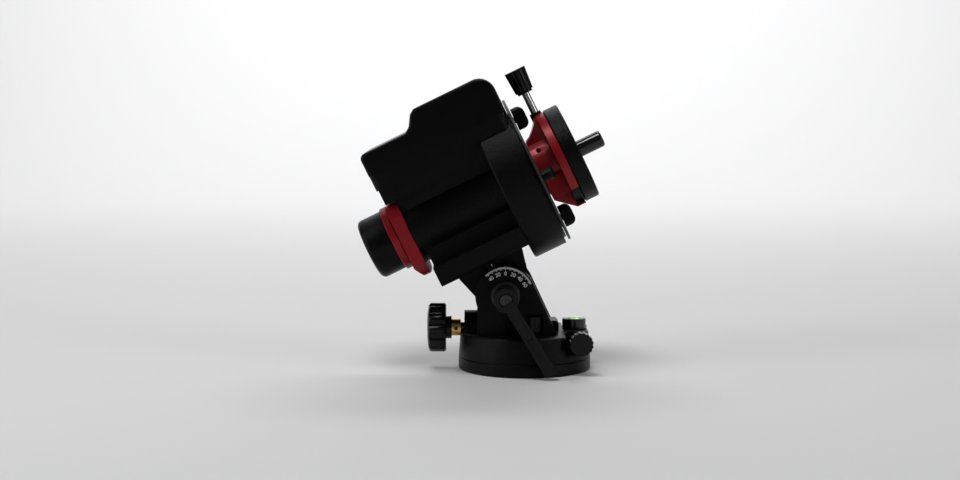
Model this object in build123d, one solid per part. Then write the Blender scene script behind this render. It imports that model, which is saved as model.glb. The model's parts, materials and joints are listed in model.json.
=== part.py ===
from build123d import *
import math
import os

# Star tracker mount, in millimetres.
# World frame: the origin is the centre of the underside, on the tripod thread.
# +Z is up and +X points toward the camera end.
# Tracker frame: X runs along the right-ascension axis (a), Z is the distance above that axis (r),
# and Y is shared with the world frame.

# ---- driving dimensions -------------------------------------------------------------------------------
REST_TILT = 26.0
PIVOT = (-11.6, 0.0, 45.7)
AXIS_HEIGHT = 56.6
RUN = 0.05

# base and turret
PLATE_R = 39.1
PLATE_TOP = 7.6
TURRET_BOTTOM = 7.75
TURRET_TOP = 22.5
TURRET_R_LOW = 39.0
TURRET_R_HIGH = 38.0
SPIGOT_R = 10.0
SPIGOT_TOP = 13.0
TRIPOD_MINOR_R = 3.97
TRIPOD_DEPTH = 9.0
CHEEK_OUT = 22.0
CHEEK_IN = 14.95
CHEEK_R = 17.6
CHEEK_LEFT = -28.0
CHEEK_SLOPE = 25.0

# azimuth adjusters
ADJ_X = 32.0
ADJ_Z = 19.0
ADJ_SHAFT_R = 2.0
PAD_R = 2.6
POST_R = 2.5
ADJ_KNOB_R = 6.9
ADJ_FACE = 35.5
ADJ_BACK = 27.5

# altitude worm drive
ALT_TEETH = 34
ALT_MODULE = 1.0
ALT_WORM_Z = 24.0
ALT_SHAFT_R = 3.0
ALT_TURNS = 4

# clamp lever
LEVER_ANGLE = 31.5
LEVER_LENGTH = 50.0
LEVER_FACE = -44.5
LEVER_HUB_R = 6.9

# right-ascension drive
RA_TEETH = 144
RA_PITCH_R = 40.0
RA_WORM_PITCH_R = 4.2
RA_WORM_A = 35.0
RA_TURNS = 8
GEAR_MODULE = 0.5
GEAR_TEETH = 34
PINION_TEETH = 16
GEAR_Y0 = 26.0
GEAR_Y1 = 29.0
MOTOR_LIFT = 30.0
SHAFT_R = 13.0
SHAFT_BORE = 10.5

# tracker body
BOX_HALF = 35.5
BOX_SCREW_A = (-30.0, 11.0)
BOX_SCREW_Y = (-28.0, 28.0)
HEAD_BOLT_A = (-12.5, 13.0)
HEAD_BOLT_Y = (-9.0, 9.0)
RAIL_LOW = 30.7
RAIL_TOP = 40.0
BARREL_R = 20.5
BEARING_R = 16.5
HOUSING_R = 46.3
HOUSING_A0 = 25.0
HOUSING_A1 = 45.3
CAVITY_R = 42.0
UNDERSIDE = -34.8
LEDGE = -22.5

# clutch, saddle and camera block
DISC_R = 45.3
CLUTCH_R = 32.0
CLUTCH_SET = 5.0
SADDLE_R = 29.0
FLANGE_A0 = 60.7
FLANGE_A1 = 66.0
BLOCK_R = 29.4
BLOCK_A1 = 75.0
STUB_R = 14.2
LOCK_A = 61.8
LOCK_R = 2.3
STUD_R = 3.175

# ---- frames -------------------------------------------------------------------------------------------
TILT = math.radians(REST_TILT)
ALONG = (math.cos(TILT), 0, math.sin(TILT))
ABOVE = (-math.sin(TILT), 0, math.cos(TILT))
RA_ORIGIN = (
    PIVOT[0] + AXIS_HEIGHT * ABOVE[0],
    0,
    PIVOT[2] + AXIS_HEIGHT * ABOVE[2],
)
HEAD = Plane(origin=RA_ORIGIN, x_dir=ALONG, z_dir=ABOVE).location
PIVOT_IN_HEAD = -AXIS_HEIGHT


# ---- shape helpers ------------------------------------------------------------------------------------
def rod_x(radius, x0, x1, y=0.0, z=0.0):
    return Pos((x0 + x1) / 2, y, z) * Rot(0, 90, 0) * Cylinder(radius, x1 - x0)


def rod_y(radius, y0, y1, x=0.0, z=0.0):
    return Pos(x, (y0 + y1) / 2, z) * Rot(90, 0, 0) * Cylinder(radius, y1 - y0)


def rod_z(radius, z0, z1, x=0.0, y=0.0):
    return Pos(x, y, (z0 + z1) / 2) * Cylinder(radius, z1 - z0)


def block(x0, x1, y0, y1, z0, z1):
    return Pos((x0 + x1) / 2, (y0 + y1) / 2, (z0 + z1) / 2) * Box(x1 - x0, y1 - y0, z1 - z0)


def side_plate(points, y0, y1):
    """A plate drawn in the X-Z plane and thickened along Y."""
    face = make_face(Plane.XZ * Polyline(*points, close=True))
    return Pos(0, y1, 0) * extrude(face, amount=y1 - y0, dir=(0, -1, 0))


def turned(points):
    """A body turned about the X axis from (x, radius) points."""
    face = make_face(Polyline(*points, close=True))
    return revolve(face, Axis.X)


def gear_points(teeth, root_r, tip_r, root_share, tip_share, phase):
    """Corners of a toothed outline whose first tooth is centred at the phase angle."""
    step = 2 * math.pi / teeth
    corners = []
    for k in range(teeth):
        centre = phase + k * step
        section = ((root_r, -root_share), (tip_r, -tip_share), (tip_r, tip_share), (root_r, root_share))
        for radius, share in section:
            angle = centre + share * step / 2
            corners.append((radius * math.cos(angle), radius * math.sin(angle)))
    return corners


def fluted_face(radius, flutes, flute_r):
    face = Circle(radius)
    for k in range(flutes):
        angle = 2 * math.pi * k / flutes
        centre = (radius + flute_r * 0.45) * math.cos(angle), (radius + flute_r * 0.45) * math.sin(angle)
        face -= Pos(*centre) * Circle(flute_r)
    return face


def worm(core_r, tip_r, pitch, turns, root_width, tip_width, run_out):
    """A worm along Z whose thread is centred on the X side at every whole pitch from the middle."""
    sink = 0.25
    height = pitch * turns
    path = Helix(pitch=pitch, height=height, radius=core_r - sink)
    start = Plane(origin=path @ 0, x_dir=(1, 0, 0), z_dir=path % 0)
    depth = tip_r - core_r + sink
    section = make_face(
        Polyline(
            (0, -root_width / 2),
            (depth, -tip_width / 2),
            (depth, tip_width / 2),
            (0, root_width / 2),
            close=True,
        )
    )
    thread = sweep(start * section, path=path, is_frenet=True)
    core = rod_z(core_r, -run_out, height + run_out)
    return Pos(0, 0, -height / 2) * (core + thread)


def save(name, shape):
    solids = shape.solids()
    result = solids[0] if len(solids) == 1 else Compound(children=list(solids))
    export_step(result, f"parts/{name}.step")


def save_head(name, shape):
    """Saves a shape drawn in the tracker frame."""
    save(name, HEAD * shape)


# ---- base ---------------------------------------------------------------------------------------------
def base_plate():
    plate = rod_z(PLATE_R, 0, PLATE_TOP)
    plate = chamfer(plate.edges().group_by(Axis.Z)[0], 0.8)
    plate = fillet(plate.edges().group_by(Axis.Z)[-1], 0.8)
    plate += rod_z(SPIGOT_R, PLATE_TOP - 1, SPIGOT_TOP)
    plate -= rod_z(7.5, 0, TRIPOD_DEPTH)
    plate -= rod_z(3.0, TRIPOD_DEPTH, SPIGOT_TOP)
    plate -= rod_z(POST_R, 3.0, PLATE_TOP, ADJ_X)
    return plate


def tripod_insert():
    return rod_z(7.5, 0, TRIPOD_DEPTH) - rod_z(TRIPOD_MINOR_R, 0, TRIPOD_DEPTH)


def centre_bolt():
    washer = rod_z(12.0, SPIGOT_TOP + 0.15, 14.4) + rod_z(7.0, SPIGOT_TOP, 14.4)
    head = rod_z(5.0, 14.4, 17.2) - rod_z(2.4, 15.4, 17.2)
    return washer + head + rod_z(3.0, TRIPOD_DEPTH + 0.1, 14.4)


def azimuth_post():
    return rod_z(POST_R, 3.0, 21.3, ADJ_X)


# ---- turret -------------------------------------------------------------------------------------------
def cheek_outline():
    """One cheek in X-Z: round head about the pivot, straight left edge, sloping right edge."""
    slope = math.radians(CHEEK_SLOPE)
    tangent = (PIVOT[0] + CHEEK_R * math.cos(slope), PIVOT[2] + CHEEK_R * math.sin(slope))
    foot_x = tangent[0] + (tangent[1] - TURRET_TOP + 1) * math.tan(slope)
    round_head = Pos(PIVOT[0], PIVOT[2]) * Circle(CHEEK_R)
    leg = make_face(
        Polyline(
            (CHEEK_LEFT, TURRET_TOP - 1),
            (foot_x, TURRET_TOP - 1),
            tangent,
            (PIVOT[0], PIVOT[2]),
            (CHEEK_LEFT, PIVOT[2]),
            close=True,
        )
    )
    return round_head + leg


def cheek(y0, y1):
    return Pos(0, y1, 0) * extrude(Plane.XZ * cheek_outline(), amount=y1 - y0, dir=(0, -1, 0))


def turret_base():
    lower = Pos(0, 0, TURRET_BOTTOM) * Cone(
        TURRET_R_LOW,
        TURRET_R_HIGH,
        TURRET_TOP - TURRET_BOTTOM,
        align=(Align.CENTER, Align.CENTER, Align.MIN),
    )
    lower = fillet(lower.edges().group_by(Axis.Z)[-1], 2.0)
    for side in (-1, 1):
        inner, outer = sorted((side * 15.5, side * 45))
        lower -= block(23.0, 45, inner, outer, 11.0, 30)
    body = lower + block(24.0, 37.0, -15.0, 15.0, 12.0, 23.6)
    body += cheek(-CHEEK_OUT, -CHEEK_IN) + cheek(CHEEK_IN, CHEEK_OUT)
    body += rod_x(10.2, -35.6, -26.0, 0, ALT_WORM_Z)
    body += block(-33.0, -26.0, -10.2, 10.2, 15.0, ALT_WORM_Z)
    # bore on the base spigot and the pit above it
    body -= rod_z(SPIGOT_R + RUN, 0, 30)
    body -= rod_z(12.4, SPIGOT_TOP + 0.05, 40)
    # worm trench and the seat of the bearing block
    body -= block(-26.0, 20.0, -8.0, 8.0, 18.0, 40)
    body -= rod_x(5.0, -36, -20, 0, ALT_WORM_Z)
    body -= rod_x(5.8, -45, -35.6, 0, ALT_WORM_Z)
    # adjuster pocket around the post, with the two screw bores
    body -= block(28.6, 35.4, -8.6, 8.6, 0, 21.9)
    body -= rod_y(PAD_R + RUN, -16, 16, ADJ_X, ADJ_Z)
    # level seat
    body -= rod_z(7.0, 23.0, 26, 29.4)
    # cheek foot pockets and the lock screw bores
    for side in (-1, 1):
        inner, outer = sorted((side * 16.1, side * 26))
        body -= block(-12.0, 10.4, inner, outer, 22.5, 35.0)
        body -= rod_z(1.55, 0, 23, 6.0, side * 19.6)
    body -= rod_y(4.0, -30, 30, PIVOT[0], PIVOT[2])
    return body


def worm_bearing_block():
    hump_profile = [(0.6, 18.0), (20.0, 18.0), (20.0, 27.4), (18.6, 29.0), (3.0, 29.0), (0.6, 27.6)]
    hump = side_plate(hump_profile, -8.0, 8.0)
    return hump - rod_x(ALT_SHAFT_R + RUN, 0, 12.4, 0, ALT_WORM_Z)


def worm_bush():
    return rod_x(5.0, -35.6, -26.0, 0, ALT_WORM_Z) - rod_x(ALT_SHAFT_R + RUN, -36, -20, 0, ALT_WORM_Z)


def level_housing():
    return rod_z(7.0, 23.0, 29.5, 29.4) - rod_z(5.6, 24.0, 30, 29.4)


def level_fluid():
    return rod_z(5.0, 24.0, 28.4, 29.4)


def level_vial():
    dome = rod_z(5.6, 24.0, 29.6, 29.4)
    dome += Pos(29.4, 0, 29.6) * Cone(5.6, 4.2, 0.7, align=(Align.CENTER, Align.CENTER, Align.MIN))
    return dome - rod_z(5.0, 24.0, 28.4, 29.4)


def pivot_bolt():
    shank = rod_y(4.0, -22.0, 22.0, PIVOT[0], PIVOT[2])
    head = rod_y(7.0, 22.0, 26.0, PIVOT[0], PIVOT[2]) - rod_y(2.9, 23.5, 26.0, PIVOT[0], PIVOT[2])
    return shank + head + rod_y(3.0, -41.0, -22.0, PIVOT[0], PIVOT[2])


def clamp_washer():
    return rod_y(8.3, -24.2, -22.0, PIVOT[0], PIVOT[2]) - rod_y(3.0, -24.2, -22.0, PIVOT[0], PIVOT[2])


# ---- azimuth adjusters --------------------------------------------------------------------------------
def azimuth_pad():
    """Non-turning tip that bears on the post, drawn for the +Y side."""
    return rod_y(PAD_R, POST_R + 0.05, 9.5, ADJ_X, ADJ_Z)


def azimuth_knob():
    """Knob with its screw, drawn for the +Y side."""
    screw = rod_y(ADJ_SHAFT_R, 9.55, ADJ_BACK + 1, ADJ_X, ADJ_Z)
    rim = extrude(fluted_face(ADJ_KNOB_R, 16, 0.9), amount=ADJ_FACE - ADJ_BACK)
    rim = Pos(ADJ_X, ADJ_FACE, ADJ_Z) * Rot(90, 0, 0) * rim
    return screw + rim + rod_y(4.2, ADJ_BACK - 3.4, ADJ_BACK, ADJ_X, ADJ_Z)


def azimuth_lock(side):
    head = Pos(6.0, side * 19.6, 24.0) * extrude(fluted_face(3.2, 12, 0.5), amount=9.0)
    return head + rod_z(1.5, 7.7, 24.0, 6.0, side * 19.6)


# ---- altitude drive -----------------------------------------------------------------------------------
def altitude_worm():
    pitch = math.pi * ALT_MODULE
    thread = worm(3.4, 5.45, pitch, ALT_TURNS, 1.3, 0.55, 0.8)
    seat = Plane(origin=(PIVOT[0], 0, ALT_WORM_Z), x_dir=(0, 0, 1), z_dir=(1, 0, 0)).location
    return seat * thread + rod_x(ALT_SHAFT_R, -56.0, 12.0, 0, ALT_WORM_Z)


def altitude_knob():
    outer_face = [(-57.7, 0), (-57.6, 8.0), (-57.0, 12.4), (-56.2, 14.0), (-55.2, 14.5)]
    blank = turned(outer_face + [(-47.4, 14.5), (-46.5, 13.6), (-46.5, 0)])
    for k in range(12):
        angle = math.pi * (2 * k + 1) / 12
        blank -= rod_x(3.2, -60, -45, 16.5 * math.cos(angle), 16.5 * math.sin(angle))
    knob = blank + rod_x(6.7, -46.6, -43.25)
    return Pos(0, 0, ALT_WORM_Z) * (knob - rod_x(ALT_SHAFT_R, -56.0, -43))


def knob_collar():
    ring = rod_x(5.0, -43.2, -37.8, 0, ALT_WORM_Z) - rod_x(ALT_SHAFT_R, -44, -37, 0, ALT_WORM_Z)
    return ring - rod_y(1.15, -6, 0, -40.5, ALT_WORM_Z)


# ---- clamp lever --------------------------------------------------------------------------------------
def clamp_lever():
    hub = rod_y(LEVER_HUB_R, LEVER_FACE, -24.3, 0, 0)
    arm = make_face(
        Polyline(
            (-3.2, -2.0),
            (3.2, -2.0),
            (3.75, -LEVER_LENGTH + 0.8),
            (3.0, -LEVER_LENGTH),
            (-3.0, -LEVER_LENGTH),
            (-3.75, -LEVER_LENGTH + 0.8),
            close=True,
        )
    )
    bar = Pos(0, -41.2, 0) * extrude(Plane.XZ * arm, amount=5.4, dir=(0, -1, 0))
    lever = hub + bar - block(-1.75, 1.75, -47, -46.0, -26.0, -10.5)
    lever -= rod_y(4.0, LEVER_FACE, -42.2) + rod_y(3.0 + RUN, -42.3, -24)
    return Pos(PIVOT[0], 0, PIVOT[2]) * Rot(0, -LEVER_ANGLE, 0) * lever


def lever_screw():
    head = rod_y(3.4, -44.3, -42.2, PIVOT[0], PIVOT[2]) + rod_y(2.4, -42.3, -41.05, PIVOT[0], PIVOT[2])
    return head - Pos(PIVOT[0], -43.4, PIVOT[2]) * Rot(90, 0, 0) * extrude(RegularPolygon(1.7, 6), amount=3)


# ---- tilt block ---------------------------------------------------------------------------------------
def tilt_block():
    low, high = PIVOT_IN_HEAD, UNDERSIDE
    points = [(-21.0, high), (21.0, high), (17.0, low + 3.5)]
    points += [(8.0, low - 4), (-8.0, low - 4), (-15.6, low + 3.5)]
    body = side_plate(points, -14.7, 14.7) + rod_y(15.9, -14.7, 14.7, 0, low)
    step = 2 * math.pi / ALT_TEETH
    first = -math.pi / 2 - TILT + step / 2
    sector = []
    for k in range(-4, 6):
        centre = first + k * step
        corners = []
        for radius, share in ((15.6, -0.62), (17.8, -0.3), (17.8, 0.3), (15.6, 0.62)):
            angle = centre + share * step / 2
            corners.append((radius * math.cos(angle), low + radius * math.sin(angle)))
        sector.append(side_plate(corners, -2.6, 2.6))
    for tooth in sector:
        body += tooth
    body -= rod_y(4.0 + RUN, -20, 20, 0, low)
    for a in HEAD_BOLT_A:
        for y in HEAD_BOLT_Y:
            body -= rod_z(3.4, low - 20, low + 9.5, a, y) + rod_z(2.5, low, high, a, y)
    return body


def head_bolts():
    low = PIVOT_IN_HEAD
    bolts = []
    for a in HEAD_BOLT_A:
        for y in HEAD_BOLT_Y:
            head = rod_z(3.2, low + 5.5, low + 9.5, a, y) - rod_z(1.6, low + 5.5, low + 7.5, a, y)
            bolts.append(head + rod_z(2.5, low + 9.5, UNDERSIDE + 7.0, a, y))
    return Compound(children=bolts)


# ---- tracker body -------------------------------------------------------------------------------------
def main_body():
    rail = extrude(Pos(2.75, 0) * RectangleRounded(84.5, BOX_HALF * 2, 4.0), amount=RAIL_TOP - RAIL_LOW)
    body = Pos(0, 0, RAIL_LOW) * rail
    body += block(-39.4, HOUSING_A0 + 1, -20.0, 20.0, 20.8, RAIL_LOW + 1)
    body += block(-33.0, HOUSING_A0 + 1, -16.0, 16.0, 12.0, 23.0)
    body += rod_x(BARREL_R, -33.0, HOUSING_A0 + 1)
    body += block(-30.0, HOUSING_A0 + 1, -16.0, 16.0, LEDGE - 1, -12.0)
    lower = [(-33.0, LEDGE - 0.6), (-15.0, LEDGE), (15.0, LEDGE)]
    lower += [(33.0, LEDGE - 0.6), (33.0, -33.0), (31.2, UNDERSIDE)]
    lower += [(-31.2, UNDERSIDE), (-33.0, -33.0)]
    lower_face = make_face(Plane.YZ * Polyline(*lower, close=True))
    body += Pos(-30.0, 0, 0) * extrude(lower_face, amount=56.0, dir=(1, 0, 0))
    housing = rod_x(HOUSING_R, HOUSING_A0, HOUSING_A1)
    housing = fillet(housing.edges().group_by(Axis.X)[0], 1.5)
    body += housing - block(20, 50, -50, 50, RAIL_TOP, 60)
    # bearing bore, worm-wheel cavity and the seat of the front ring
    body -= rod_x(BEARING_R, -34, 30)
    body -= rod_x(CAVITY_R, 29.0, 50)
    body -= rod_x(43.0, 43.3, 50)
    # battery pocket, gear pocket and the fixing bores
    body -= block(-35.0, 22.0, -22.0, 22.0, 33.0, 41)
    body -= block(25.4, 44.4, 25.0, 30.0, 34.4, 41)
    for a in BOX_SCREW_A:
        for y in BOX_SCREW_Y:
            body -= rod_z(1.5, 28, 41, a, y) + rod_z(2.8, 28, 33.0, a, y)
    for a in HEAD_BOLT_A:
        for y in HEAD_BOLT_Y:
            body -= rod_z(2.5, UNDERSIDE - 1, UNDERSIDE + 8, a, y)
    return body


def box_outline(inset):
    low, high = 53.4 - inset, 63.8 - inset
    face = make_face(
        Polyline(
            (-39.6 + inset, RAIL_TOP - 1),
            (-39.6 + inset, low),
            (-10.0 + inset * 0.4, low),
            (-6.6 + inset * 0.5, low + 2.6),
            (-3.0 + inset * 0.6, high - 2.0),
            (0.0 + inset * 0.8, high),
            (46.8 - inset, high),
            (46.8 - inset, RAIL_TOP - 1),
            close=True,
        )
    )
    corner = face.vertices().sort_by(lambda v: v.X + v.Y)[-1]
    face = fillet(corner, 10.0 - inset)
    tail = face.vertices().sort_by(lambda v: v.Y - v.X * 0.9)[-1]
    return fillet(tail, max(3.4 - inset, 0.8))


def box_solid(inset):
    half = BOX_HALF - inset
    return Pos(0, half, 0) * extrude(Plane.XZ * box_outline(inset), amount=2 * half, dir=(0, -1, 0))


def control_box():
    outer = box_solid(0.0)
    upper_edges = outer.edges().filter_by(lambda e: e.center().Z > RAIL_TOP + 2)
    side_edges = upper_edges.filter_by(lambda e: abs(abs(e.center().Y) - BOX_HALF) < 0.01)
    outer = fillet(side_edges, 2.0)
    shell = outer - box_solid(2.4)
    shell -= block(-60, 60, -60, 60, 30, RAIL_TOP)
    for a in BOX_SCREW_A:
        for y in BOX_SCREW_Y:
            shell += rod_z(3.4, RAIL_TOP, 51.6, a, y)
            shell -= rod_z(1.5, 39, 47.0, a, y)
    # openings of the tail: two sockets and the switch
    shell -= block(-41, -36, -16.0, -2.0, 43.4, 49.8)
    shell -= rod_x(3.6, -41, -36, 8.0, 46.6)
    shell -= block(-41, -36, 17.0, 29.0, 45.0, 50.0)
    # arc over the front ring
    return shell - rod_x(43.1, 43.2, 50)


def box_screws():
    screws = []
    for a in BOX_SCREW_A:
        for y in BOX_SCREW_Y:
            head = rod_z(2.8, 31.2, 33.0, a, y) - rod_z(1.2, 31.2, 32.2, a, y)
            screws.append(head + rod_z(1.5, 33.0, 46.8, a, y))
    return Compound(children=screws)


def circuit_board():
    return block(-36.0, 11.0, -23.0, 23.0, 40.6, 42.2)


def battery_pack():
    return block(-34.0, 21.0, -21.0, 21.0, 33.0, 39.6)


def worm_axis_height():
    return RA_PITCH_R + RA_WORM_PITCH_R


def motor_axis():
    reach = GEAR_MODULE * (GEAR_TEETH + PINION_TEETH) / 2
    lift = math.radians(MOTOR_LIFT)
    return RA_WORM_A - reach * math.cos(lift), worm_axis_height() + reach * math.sin(lift)


def drive_motor():
    a, r = motor_axis()
    can = rod_y(7.2, -8.0, 24.0, a, r)
    foot = block(a - 7.0, a + 5.0, -6.0, 22.0, RAIL_TOP, r - 5.0)
    foot -= block(-60, 22.1, -22.1, 22.1, 30, 42.4)
    return can + foot - rod_y(1.55, -8.5, 25, a, r)


def spur(teeth, phase):
    pitch_r = GEAR_MODULE * teeth / 2
    outline = gear_points(teeth, pitch_r - 0.6, pitch_r + 0.42, 0.55, 0.22, phase)
    wheel = make_face(Plane.XZ * Polyline(*outline, close=True))
    return Pos(0, GEAR_Y1, 0) * extrude(wheel, amount=GEAR_Y1 - GEAR_Y0, dir=(0, -1, 0))


def motor_pinion():
    a, r = motor_axis()
    toward_gear = math.radians(-MOTOR_LIFT)
    return Pos(a, 0, r) * (spur(PINION_TEETH, toward_gear) + rod_y(1.5, -7.0, GEAR_Y0 + 0.5))


def ra_worm():
    pitch = 2 * math.pi * RA_PITCH_R / RA_TEETH
    thread = worm(3.45, 4.75, pitch, RA_TURNS, 0.75, 0.26, 1.0)
    seat = Plane(origin=(RA_WORM_A, 0, worm_axis_height()), x_dir=(0, 0, -1), z_dir=(0, 1, 0)).location
    toward_motor = math.radians(180.0 - MOTOR_LIFT)
    half_step = math.pi / GEAR_TEETH
    gear = Pos(RA_WORM_A, 0, worm_axis_height()) * spur(GEAR_TEETH, toward_motor + half_step)
    return seat * thread + rod_y(2.0, -19.0, GEAR_Y0 + 0.5, RA_WORM_A, worm_axis_height()) + gear


def worm_carrier():
    height = worm_axis_height()
    legs = block(32.0, 38.0, -18.0, -14.0, RAIL_TOP, 52.0) + block(32.0, 38.0, 14.0, 18.0, RAIL_TOP, 52.0)
    bridge = block(32.0, 38.0, -18.0, 18.0, 50.0, 52.0)
    return legs + bridge - rod_y(2.0 + RUN, -20, 20, RA_WORM_A, height)


def ra_bearings():
    rings = []
    for a0, a1 in ((-31.0, -25.0), (18.0, 24.8)):
        rings.append(rod_x(BEARING_R, a0, a1) - rod_x(SHAFT_R + RUN, a0 - 1, a1 + 1))
    return Compound(children=rings)


def housing_ring():
    return rod_x(43.0, 43.3, 46.9) - rod_x(37.3, 43, 47)


def rear_plate():
    outline = Pos(0, -3.25) * RectangleRounded(39.0, 46.5, 9.0)
    plate = Pos(-41.0, 0, 0) * extrude(Plane.YZ * outline, amount=7.6, dir=(1, 0, 0))
    plate -= side_plate([(-42.0, -18.0), (-42.0, -28.0), (-37.0, -28.0)], -30, 30)
    return plate - rod_x(11.3, -42, -33)


def rear_ports():
    socket = block(-39.2, -30.0, -16.0, -2.0, 43.4, 49.8) - block(-40, -31.5, -14.6, -3.4, 44.4, 48.8)
    jack = rod_x(3.6, -39.2, -29.0, 8.0, 46.6) - rod_x(2.5, -40, -31, 8.0, 46.6)
    pin = rod_x(0.9, -37.5, -30.0, 8.0, 46.6)
    return Compound(children=[socket, jack + pin])


def power_switch():
    slider = block(-40.4, -36.9, 21.5, 25.0, 45.4, 49.6)
    return slider + block(-37.1, -36.4, 18.5, 28.0, 44.2, 50.0)


# ---- polar scope --------------------------------------------------------------------------------------
def scope_tube():
    tube = rod_x(9.6, -44.0, 44.0) + rod_x(11.25, -56.0, -34.0)
    bore = rod_x(8.4, -57.0, 45.0)
    return tube - bore


def scope_lenses():
    lenses = []
    for a0, a1 in ((-54.5, -51.5), (-22.0, -20.6), (39.0, 42.0)):
        lenses.append(rod_x(8.4, a0, a1))
    return Compound(children=lenses)


def focus_ring():
    ring = rod_x(19.5, -45.9, -41.4)
    ring = chamfer(ring.edges().filter_by(GeomType.CIRCLE), 0.5)
    return ring - rod_x(11.3, -47, -40)


def polar_cap():
    cup = rod_x(18.3, -61.3, -46.2)
    cup = fillet(cup.edges().group_by(Axis.X)[0], 3.0)
    cup -= rod_x(16.6, -59.4, -46)
    sleeve = rod_x(12.8, -59.5, -47.5) - rod_x(11.3, -59.4, -47)
    return cup + sleeve


# ---- right-ascension axis -----------------------------------------------------------------------------
def ra_worm_wheel():
    step = 2 * math.pi / RA_TEETH
    outline = gear_points(RA_TEETH, RA_PITCH_R - 0.75, RA_PITCH_R + 0.45, 0.62, 0.3, math.pi / 2 + step / 2)
    rim = make_face(Plane.YZ * Polyline(*outline, close=True))
    wheel = Pos(32.6, 0, 0) * extrude(rim, amount=4.8, dir=(1, 0, 0))
    return wheel + rod_x(24.0, 29.4, 42.9) - rod_x(SHAFT_R + RUN, 28, 44)


def ra_shaft():
    return rod_x(SHAFT_R, -32.0, 53.0) - rod_x(SHAFT_BORE, -33, 54)


def clutch_points():
    """Directions of the four clutch screws about the axis, measured from +Y toward +Z."""
    return {
        "top": math.radians(90.0 + CLUTCH_SET),
        "near": math.radians(180.0 + CLUTCH_SET),
        "bottom": math.radians(270.0 + CLUTCH_SET),
        "far": math.radians(CLUTCH_SET),
    }


def clutch_plate():
    plate = rod_x(36.9, 43.2, 47.3) - rod_x(SHAFT_R, 43, 48)
    for angle in clutch_points().values():
        plate -= rod_x(2.0 + RUN, 43, 48, CLUTCH_R * math.cos(angle), CLUTCH_R * math.sin(angle))
    return plate


def setting_disc():
    disc = rod_x(DISC_R, 47.3, 48.8) - rod_x(SHAFT_R, 47, 49)
    for angle in clutch_points().values():
        disc -= rod_x(2.0 + RUN, 47, 49, CLUTCH_R * math.cos(angle), CLUTCH_R * math.sin(angle))
    return disc


def clutch_screw(angle):
    """Wing screw whose wings lie along the radius."""
    wing = extrude(SlotOverall(13.6, 6.4), amount=7.2)
    side = make_face(Plane.XZ * Polyline((-6.8, 0), (6.8, 0), (6.8, 7.2), (-6.8, 7.2), close=True))
    side = fillet(side.vertices().group_by(Axis.Z)[-1], 4.4)
    wing &= Pos(0, 4, 0) * extrude(side, amount=8.0, dir=(0, -1, 0))
    upright = Plane(origin=(49.3, 0, 0), x_dir=(0, 1, 0), z_dir=(1, 0, 0)).location
    screw = upright * wing + rod_x(2.0, 37.5, 49.6)
    spin = Rot(math.degrees(angle), 0, 0)
    return spin * Pos(0, CLUTCH_R, 0) * screw


def saddle():
    flange = chamfer(rod_x(SADDLE_R, FLANGE_A0, FLANGE_A1).edges().filter_by(GeomType.CIRCLE), 0.4)
    flange -= block(FLANGE_A0, 67, -40, 40, -40, -18.0)
    top = [(49.6, 8), (49.6, 17.4), (52.5, 19.0), (55.5, 21.8), (58.2, 25.0)]
    top += [(60.0, 28.2), (60.8, 28.6), (60.8, 8)]
    low = [(49.6, -8), (49.6, -20.0), (60.4, -29.2), (65.8, -29.2)]
    low += [(65.8, -28.3), (60.65, -28.3), (60.65, -8)]
    body = flange + rod_x(17.0, 48.85, FLANGE_A0 + 0.1)
    body += side_plate(top, -8.5, 8.5) + side_plate(low, -12.0, 12.0)
    body += block(49.6, 60.65, -19.0, 19.0, -18.6, -6.5)
    body -= rod_x(SHAFT_R, 48, 53.0)
    body -= rod_x(SHAFT_BORE, 48, 60)
    body -= rod_x(STUB_R + 0.1, 56.8, 67)
    body -= rod_z(LOCK_R + RUN, 0, 22.0, LOCK_A)
    body -= rod_z(3.5, 22.0, 35, LOCK_A)
    body -= rod_y(1.4, -20, -10, 53.8, 10.4)
    return body


def clamp_jaw():
    jaw = rod_x(28.8, FLANGE_A0, FLANGE_A1 - 0.1) - block(50, 70, -40, 40, -18.0, 40)
    return jaw - block(50, 70, -40, 40, -40, -28.3)


def lock_sleeve():
    return rod_z(3.5, 22.0, 30.6, LOCK_A) - rod_z(LOCK_R + RUN, 21, 31, LOCK_A)


def lock_pad():
    tip = Pos(LOCK_A, 0, 12.85) * Cone(1.1, LOCK_R, 1.2, align=(Align.CENTER, Align.CENTER, Align.MIN))
    return tip + rod_z(LOCK_R, 14.05, 19.0, LOCK_A) - rod_z(1.55, 14.1, 20.0, LOCK_A)


def lock_screw():
    return rod_z(LOCK_R, 20.7, 50.0, LOCK_A) + rod_z(1.5, 15.75, 21.0, LOCK_A)


def lock_knob():
    blank = extrude(fluted_face(6.5, 14, 0.9), amount=13.5, taper=4.0)
    blank = Pos(LOCK_A, 0, 58.0) * Rot(180, 0, 0) * blank
    collar = rod_z(4.6, 43.2, 44.6, LOCK_A)
    return blank + collar - rod_z(LOCK_R, 40, 50.0, LOCK_A)


def camera_block():
    groove = STUB_R - 1.6
    profile = [(57.4, 0), (57.4, STUB_R), (LOCK_A - 2.6, STUB_R), (LOCK_A - 1.0, groove)]
    profile += [(LOCK_A + 1.0, groove), (LOCK_A + 2.6, STUB_R)]
    profile += [(66.2, STUB_R), (66.2, BLOCK_R - 0.4), (66.6, BLOCK_R)]
    profile += [(74.4, BLOCK_R), (BLOCK_A1, BLOCK_R - 0.6)]
    profile += [(BLOCK_A1, 0)]
    body = turned(profile)
    body -= rod_x(STUD_R, 60.0, 76)
    rim_hole = Rot(-32, 0, 0) * rod_y(0.5, -32, -24, 71.6, 0)
    return body - rim_hole


def camera_stud():
    return rod_x(STUD_R, 60.0, 87.4)


def stud_cap():
    cap = rod_x(4.95, BLOCK_A1 + 0.1, 91.0)
    cap = fillet(cap.edges().group_by(Axis.X)[-1], 1.5)
    return cap - rod_x(STUD_R + RUN, 75, 87.6)


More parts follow.
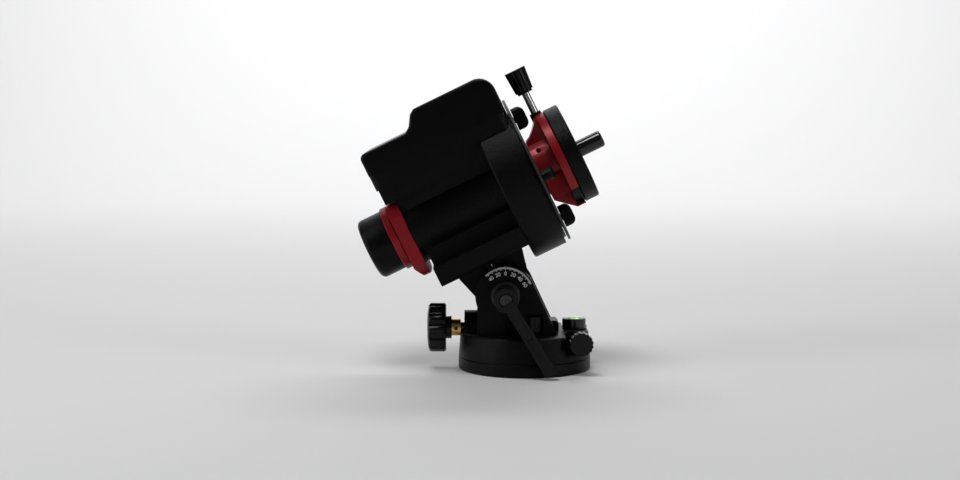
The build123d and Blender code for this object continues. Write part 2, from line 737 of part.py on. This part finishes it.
# ---- export -------------------------------------------------------------------------------------------
def build():
    os.makedirs("parts", exist_ok=True)
    world = {
        "base_plate": base_plate,
        "tripod_insert": tripod_insert,
        "centre_bolt": centre_bolt,
        "azimuth_post": azimuth_post,
        "turret_base": turret_base,
        "worm_bearing_block": worm_bearing_block,
        "worm_bush": worm_bush,
        "level_housing": level_housing,
        "level_fluid": level_fluid,
        "level_vial": level_vial,
        "pivot_bolt": pivot_bolt,
        "clamp_washer": clamp_washer,
        "altitude_worm": altitude_worm,
        "altitude_knob": altitude_knob,
        "knob_collar": knob_collar,
        "clamp_lever": clamp_lever,
        "lever_screw": lever_screw,
    }
    tracker = {
        "tilt_block": tilt_block,
        "head_bolts": head_bolts,
        "main_body": main_body,
        "control_box": control_box,
        "box_screws": box_screws,
        "circuit_board": circuit_board,
        "battery_pack": battery_pack,
        "drive_motor": drive_motor,
        "motor_pinion": motor_pinion,
        "ra_worm": ra_worm,
        "worm_carrier": worm_carrier,
        "ra_bearings": ra_bearings,
        "housing_ring": housing_ring,
        "rear_plate": rear_plate,
        "rear_ports": rear_ports,
        "power_switch": power_switch,
        "scope_tube": scope_tube,
        "scope_lenses": scope_lenses,
        "focus_ring": focus_ring,
        "polar_cap": polar_cap,
        "ra_worm_wheel": ra_worm_wheel,
        "ra_shaft": ra_shaft,
        "clutch_plate": clutch_plate,
        "setting_disc": setting_disc,
        "saddle": saddle,
        "clamp_jaw": clamp_jaw,
        "lock_sleeve": lock_sleeve,
        "lock_pad": lock_pad,
        "lock_screw": lock_screw,
        "lock_knob": lock_knob,
        "camera_block": camera_block,
        "camera_stud": camera_stud,
        "stud_cap": stud_cap,
    }
    for name, make in world.items():
        save(name, make())
    for name, make in tracker.items():
        save_head(name, make())
    for name, angle in clutch_points().items():
        save_head(f"clutch_screw_{name}", clutch_screw(angle))
    for name, side in (("near", -1), ("far", 1)):
        turn = Rot(0, 0, 0) if side > 0 else Pos(2 * ADJ_X, 0, 0) * Rot(0, 0, 180)
        save(f"azimuth_pad_{name}", turn * azimuth_pad())
        save(f"azimuth_knob_{name}", turn * azimuth_knob())
        save(f"azimuth_lock_{name}", azimuth_lock(side))


build()
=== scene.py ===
import json
import math

import bmesh
import bpy
from mathutils import Matrix, Vector
from mathutils.bvhtree import BVHTree


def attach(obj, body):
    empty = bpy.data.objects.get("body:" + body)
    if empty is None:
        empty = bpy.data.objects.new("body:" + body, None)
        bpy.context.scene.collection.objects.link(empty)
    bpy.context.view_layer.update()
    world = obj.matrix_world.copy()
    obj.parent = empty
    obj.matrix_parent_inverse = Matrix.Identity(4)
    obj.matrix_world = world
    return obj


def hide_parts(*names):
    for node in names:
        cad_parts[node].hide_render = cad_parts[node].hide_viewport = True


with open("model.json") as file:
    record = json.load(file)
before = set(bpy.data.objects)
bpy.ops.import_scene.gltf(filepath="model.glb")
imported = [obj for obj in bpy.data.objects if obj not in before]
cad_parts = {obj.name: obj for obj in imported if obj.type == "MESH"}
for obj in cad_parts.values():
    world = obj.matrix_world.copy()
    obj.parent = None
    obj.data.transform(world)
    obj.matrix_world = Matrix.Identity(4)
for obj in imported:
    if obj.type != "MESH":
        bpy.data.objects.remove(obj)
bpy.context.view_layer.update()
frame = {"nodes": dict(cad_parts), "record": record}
RECORD = frame["record"]
JOINTS = {joint["name"]: joint for joint in RECORD["behaviour"]["joints"]}
BODY_OF = {node: body for body, nodes in RECORD["behaviour"]["bodies"].items() for node in nodes}
SLOT_OF = {part["node"]: part["material_slot"] for part in RECORD["subparts"]}

# ---- places taken from the frame ----------------------------------------------------------------------
MM = 0.001
PIVOT = Vector(JOINTS["latitude_tilt"]["pos_m"])
RA_AXIS = Vector(JOINTS["ra_drive"]["axis"]).normalized()
RA_POINT = Vector(JOINTS["ra_drive"]["pos_m"])
RA_ORIGIN = RA_POINT - RA_AXIS * (RA_POINT - PIVOT).dot(RA_AXIS)
ABOVE = (RA_ORIGIN - PIVOT).normalized()
SIDE = ABOVE.cross(RA_AXIS)
HEAD = Matrix.Translation(RA_ORIGIN) @ Matrix((RA_AXIS, SIDE, ABOVE)).transposed().to_4x4()
CHEEK_FACE = -22.0 * MM

# ---- latitude scale, in mm from the pivot -------------------------------------------------------------
TICK_FIRST, TICK_LAST, TICK_STEP = -44, 64, 2
LONG_TICK_EVERY = 10
TICK_OUTER, TICK_INNER, LONG_TICK_INNER = 16.7, 15.6, 14.9
TICK_WIDTH = 0.3
MARK_ANGLE, MARK_INNER, MARK_OUTER, MARK_WIDTH = -25, 17.2, 19.4, 0.5
NUMERAL_RADIUS, NUMERAL_HEIGHT = 12.9, 2.3
FONT_SIZE_PER_HEIGHT = 1.38
PRINT_DEPTH = 0.03

# ---- camera and room ----------------------------------------------------------------------------------
CAMERA_AT = Vector((-0.0264, -0.973, 0.1735))
CAMERA_AIM = Vector((-0.0264, 0.0, 0.0760))
CAMERA_LENS = 62.0


# ---- materials ----------------------------------------------------------------------------------------
def principled(name, color, roughness, metallic=0.0, **sockets):
    material = bpy.data.materials.new(name)
    material.use_nodes = True
    shader = material.node_tree.nodes["Principled BSDF"]
    shader.inputs["Base Color"].default_value = (*color, 1.0)
    shader.inputs["Roughness"].default_value = roughness
    shader.inputs["Metallic"].default_value = metallic
    for key, value in sockets.items():
        shader.inputs[key.replace("_", " ")].default_value = value
    return material


def add_grain(material, scale, depth, detail=3.0, lift=0.0):
    """A fine bump from noise, and a slight change of roughness with it."""
    tree = material.node_tree
    shader = tree.nodes["Principled BSDF"]
    place = tree.nodes.new("ShaderNodeTexCoord")
    noise = tree.nodes.new("ShaderNodeTexNoise")
    noise.inputs["Scale"].default_value = scale
    noise.inputs["Detail"].default_value = detail
    bump = tree.nodes.new("ShaderNodeBump")
    bump.inputs["Distance"].default_value = depth
    bump.inputs["Strength"].default_value = 0.6
    tree.links.new(place.outputs["Object"], noise.inputs["Vector"])
    tree.links.new(noise.outputs["Fac"], bump.inputs["Height"])
    tree.links.new(bump.outputs["Normal"], shader.inputs["Normal"])
    if lift:
        spread = tree.nodes.new("ShaderNodeMapRange")
        base = shader.inputs["Roughness"].default_value
        spread.inputs["To Min"].default_value = base - lift
        spread.inputs["To Max"].default_value = base + lift
        tree.links.new(noise.outputs["Fac"], spread.inputs["Value"])
        tree.links.new(spread.outputs["Result"], shader.inputs["Roughness"])
    return material


def make_materials():
    coat = principled("black_coat", (0.0014, 0.0015, 0.0017), 0.36, 0.0, Specular_IOR_Level=0.12)
    add_grain(coat, 1300, 0.0005, 2.0, 0.1)
    plastic = principled("black_plastic", (0.0014, 0.0015, 0.0017), 0.3, 0.0, Specular_IOR_Level=0.12)
    add_grain(plastic, 1800, 0.0003, 2.0, 0.06)
    red = principled("red_anodised", (0.26, 0.003, 0.008), 0.34, 0.2, Specular_IOR_Level=0.35)
    add_grain(red, 4000, 0.00001)
    return {
        "black_coat": coat,
        "black_plastic": plastic,
        "black_knob": principled("black_knob", (0.0014, 0.0014, 0.0016), 0.22, 0.0, Specular_IOR_Level=0.22),
        "red_anodised": red,
        "steel": principled("steel", (0.66, 0.66, 0.67), 0.22, 1.0),
        "dark_steel": principled("dark_steel", (0.05, 0.05, 0.053), 0.34, 0.8),
        "brass": principled("brass", (0.72, 0.44, 0.15), 0.3, 1.0),
        "aluminium": principled("aluminium", (0.72, 0.72, 0.73), 0.34, 1.0),
        "disc_edge": principled("disc_edge", (0.02, 0.02, 0.022), 0.42, 0.2),
        "vinyl": principled("vinyl", (0.004, 0.004, 0.0045), 0.1, 0.0, Specular_IOR_Level=0.5),
        "level_ring": principled("level_ring", (0.008, 0.008, 0.008), 0.2),
        "level_green": principled("level_green", (0.34, 0.78, 0.03), 0.12, 0.0, Coat_Weight=0.8),
        "lens": principled("lens", (0.9, 0.93, 0.95), 0.03, 0.0, Transmission_Weight=0.9),
        "board": principled("board", (0.02, 0.16, 0.06), 0.4),
        "cell": principled("cell", (0.1, 0.2, 0.42), 0.4),
        "socket": principled("socket", (0.02, 0.02, 0.022), 0.5),
        "print_white": principled("print_white", (0.9, 0.9, 0.89), 0.55),
    }


MATERIALS = make_materials()


# ---- mesh helpers -------------------------------------------------------------------------------------
BEVEL_ANGLE, SHARP_ANGLE, BEVEL_SEGMENTS = 28.0, 36.0, 3


def add_object(name, mesh, material, body):
    piece = bpy.data.objects.new(name, mesh)
    bpy.context.scene.collection.objects.link(piece)
    mesh.materials.clear()
    mesh.materials.append(MATERIALS[material])
    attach(piece, body)
    return piece


def mesh_of(work, name):
    """The finished mesh of a bmesh, with its faces turned outwards."""
    bmesh.ops.recalc_face_normals(work, faces=work.faces)
    mesh = bpy.data.meshes.new(name)
    work.to_mesh(mesh)
    work.free()
    return mesh


def dress(node, bevel_mm):
    """A cleaned copy of a CAD node with softened edges, which stands for it."""
    mesh = frame["nodes"][node].data.copy()
    work = bmesh.new()
    work.from_mesh(mesh)
    bmesh.ops.remove_doubles(work, verts=work.verts, dist=1e-6)
    bmesh.ops.dissolve_limit(work, angle_limit=math.radians(0.6), verts=work.verts, edges=work.edges)
    work.to_mesh(mesh)
    work.free()
    for face in mesh.polygons:
        face.use_smooth = True
    mesh.set_sharp_from_angle(angle=math.radians(SHARP_ANGLE))
    piece = add_object(f"{node}_dressed", mesh, SLOT_OF[node], BODY_OF[node])
    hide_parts(node)
    bevel = piece.modifiers.new("edges", "BEVEL")
    bevel.width = bevel_mm * MM
    bevel.segments = BEVEL_SEGMENTS
    bevel.limit_method = "ANGLE"
    bevel.angle_limit = math.radians(BEVEL_ANGLE)
    bevel.harden_normals = True
    bevel.use_clamp_overlap = True


# ---- the object's pieces ------------------------------------------------------------------------------
def dress_all():
    """Edge softening, in mm, for each group of nodes."""
    soft = {
        0.5: ["turret_base", "main_body", "tilt_block"],
        0.35: ["clamp_lever", "rear_plate", "worm_bearing_block", "clamp_jaw", "control_box"],
        0.25: ["azimuth_knob_near", "azimuth_knob_far", "azimuth_lock_near", "azimuth_lock_far", "lock_knob"],
        0.2: ["saddle", "level_housing", "level_vial", "clamp_washer", "lever_screw", "pivot_bolt"],
        0.15: ["knob_collar", "lock_sleeve", "housing_ring", "focus_ring", "power_switch", "rear_ports"],
    }
    for width, nodes in soft.items():
        for node in nodes:
            dress(node, width)
    for name in ("top", "near", "bottom", "far"):
        dress(f"clutch_screw_{name}", 0.2)
    for node in ("altitude_knob", "polar_cap", "base_plate", "setting_disc", "camera_block", "stud_cap"):
        dress(node, 0.2)


def paint_rest():
    """The CAD nodes that stay as they are take their material."""
    for node, piece in frame["nodes"].items():
        piece.data.materials.clear()
        piece.data.materials.append(MATERIALS[SLOT_OF[node]])


# ---- scale --------------------------------------------------------------------------------------------
def flat_box(work, corners, low, high):
    """A thin plate from four X-Z corners, between two Y values."""
    lower = [work.verts.new((x, low, z)) for x, z in corners]
    upper = [work.verts.new((x, high, z)) for x, z in corners]
    work.faces.new(lower)
    work.faces.new(upper[::-1])
    for k in range(4):
        after = (k + 1) % 4
        work.faces.new((lower[k], upper[k], upper[after], lower[after]))


def tick(work, angle, inner, outer, width, face):
    """A short bar at an angle from straight up, positive to the right."""
    out = Vector((math.sin(angle), math.cos(angle)))
    across = Vector((out.y, -out.x)) * width / 2
    centre = Vector((PIVOT.x, PIVOT.z))
    ends = [centre + out * inner - across, centre + out * inner + across]
    ends += [centre + out * outer + across, centre + out * outer - across]
    flat_box(work, [(p.x, p.y) for p in ends], face - PRINT_DEPTH * MM, face)


def latitude_scale():
    work = bmesh.new()
    for degree in range(TICK_FIRST, TICK_LAST + TICK_STEP, TICK_STEP):
        inner = TICK_INNER if degree % LONG_TICK_EVERY else LONG_TICK_INNER
        tick(work, math.radians(degree), inner * MM, TICK_OUTER * MM, TICK_WIDTH * MM, CHEEK_FACE)
    add_object("latitude_ticks", mesh_of(work, "latitude_ticks"), "print_white", "turret")


def index_mark():
    """The white bar on the tilting block that points at the latitude scale."""
    angle, inner, outer = math.radians(MARK_ANGLE), MARK_INNER * MM, MARK_OUTER * MM
    middle = (inner + outer) / 2
    start = Vector((PIVOT.x + math.sin(angle) * middle, -0.1, PIVOT.z + math.cos(angle) * middle))
    block = frame["nodes"]["tilt_block"].data
    faces = BVHTree.FromPolygons([v.co for v in block.vertices], [f.vertices for f in block.polygons])
    place = faces.ray_cast(start, Vector((0, 1, 0)))[0]
    if place is None:
        raise RuntimeError("the index mark has no face to lie on")
    work = bmesh.new()
    tick(work, angle, inner, outer, MARK_WIDTH * MM, place.y)
    add_object("index_mark", mesh_of(work, "index_mark"), "print_white", "tracker")


def numeral(text, angle, radius, height, body):
    """A number printed on the cheek, upright along its own radius."""
    curve = bpy.data.curves.new(f"numeral_{text}", "FONT")
    curve.body = text
    curve.size = height * FONT_SIZE_PER_HEIGHT
    curve.align_x = "CENTER"
    curve.align_y = "CENTER"
    half_depth = PRINT_DEPTH / 2 * MM
    curve.extrude = half_depth
    holder = bpy.data.objects.new("numeral_holder", curve)
    bpy.context.scene.collection.objects.link(holder)
    bpy.context.view_layer.update()
    evaluated = holder.evaluated_get(bpy.context.evaluated_depsgraph_get())
    mesh = bpy.data.meshes.new_from_object(evaluated)
    bpy.data.objects.remove(holder)
    bpy.data.curves.remove(curve)
    out = Vector((math.sin(angle), 0, math.cos(angle)))
    centre = Vector((PIVOT.x, CHEEK_FACE - half_depth, PIVOT.z)) + out * radius
    upright = Matrix.Rotation(math.radians(90), 4, "X") @ Matrix.Rotation(-angle, 4, "Z")
    mesh.transform(Matrix.Translation(centre) @ upright)
    add_object(f"numeral_{text}_{round(math.degrees(angle))}", mesh, "print_white", body)


def scale_numerals():
    for degree in range(-40, 61, 20):
        numeral(str(abs(degree)), math.radians(degree), NUMERAL_RADIUS * MM, NUMERAL_HEIGHT * MM, "turret")


# ---- room ---------------------------------------------------------------------------------------------
def make_floor():
    """A pale floor that curves up into a backdrop behind the object."""
    front, flat_end, bend, top, half_width, steps = -2.5, 1.2, 1.2, 4.0, 4.0, 16
    points = [(front, 0.0), (flat_end, 0.0)]
    for k in range(1, steps + 1):
        angle = math.pi / 2 * k / steps
        points.append((flat_end + bend * math.sin(angle), bend - bend * math.cos(angle)))
    points.append((flat_end + bend, top))
    work = bmesh.new()
    rows = []
    for y, z in points:
        rows.append([work.verts.new((x, y, z)) for x in (-half_width, half_width)])
    for one, two in zip(rows, rows[1:]):
        work.faces.new((one[0], one[1], two[1], two[0]))
    mesh = bpy.data.meshes.new("floor")
    work.to_mesh(mesh)
    work.free()
    for face in mesh.polygons:
        face.use_smooth = True
    floor = bpy.data.objects.new("floor", mesh)
    bpy.context.scene.collection.objects.link(floor)
    mesh.materials.append(principled("floor", (0.72, 0.72, 0.725), 0.8))


def area_light(name, place, aim, width, height, watts):
    """A rectangular lamp that faces a point."""
    light = bpy.data.lights.new(name, "AREA")
    light.shape = "RECTANGLE"
    light.size = width
    light.size_y = height
    light.energy = watts
    lamp = bpy.data.objects.new(name, light)
    lamp.location = place
    lamp.rotation_mode = "QUATERNION"
    lamp.rotation_quaternion = (Vector(aim) - Vector(place)).to_track_quat("-Z", "Y")
    bpy.context.scene.collection.objects.link(lamp)


def make_lights():
    centre = (0.0, 0.0, 0.08)
    area_light("top_box", (-0.25, -0.35, 1.2), centre, 0.5, 0.35, 6)
    area_light("left_box", (-1.1, -0.5, 0.45), centre, 0.25, 0.9, 4)
    area_light("right_box", (1.1, -0.6, 0.5), centre, 0.25, 0.9, 3)
    area_light("back_wash", (0.0, 1.3, 1.9), (0.0, 2.2, 0.6), 2.2, 0.8, 46)
    world = bpy.data.worlds.new("room")
    world.use_nodes = True
    world.node_tree.nodes["Background"].inputs["Color"].default_value = (0.95, 0.96, 1.0, 1.0)
    world.node_tree.nodes["Background"].inputs["Strength"].default_value = 0.09
    bpy.context.scene.world = world


def make_camera():
    data = bpy.data.cameras.new("camera")
    data.lens = CAMERA_LENS
    data.sensor_width = 36.0
    data.clip_end = 20.0
    camera = bpy.data.objects.new("camera", data)
    camera.location = CAMERA_AT
    camera.rotation_mode = "QUATERNION"
    camera.rotation_quaternion = (CAMERA_AIM - CAMERA_AT).to_track_quat("-Z", "Y")
    bpy.context.scene.collection.objects.link(camera)
    bpy.context.scene.camera = camera


paint_rest()
dress_all()
latitude_scale()
index_mark()
scale_numerals()
make_floor()
make_lights()
make_camera()
bpy.context.scene.view_settings.view_transform = "Standard"
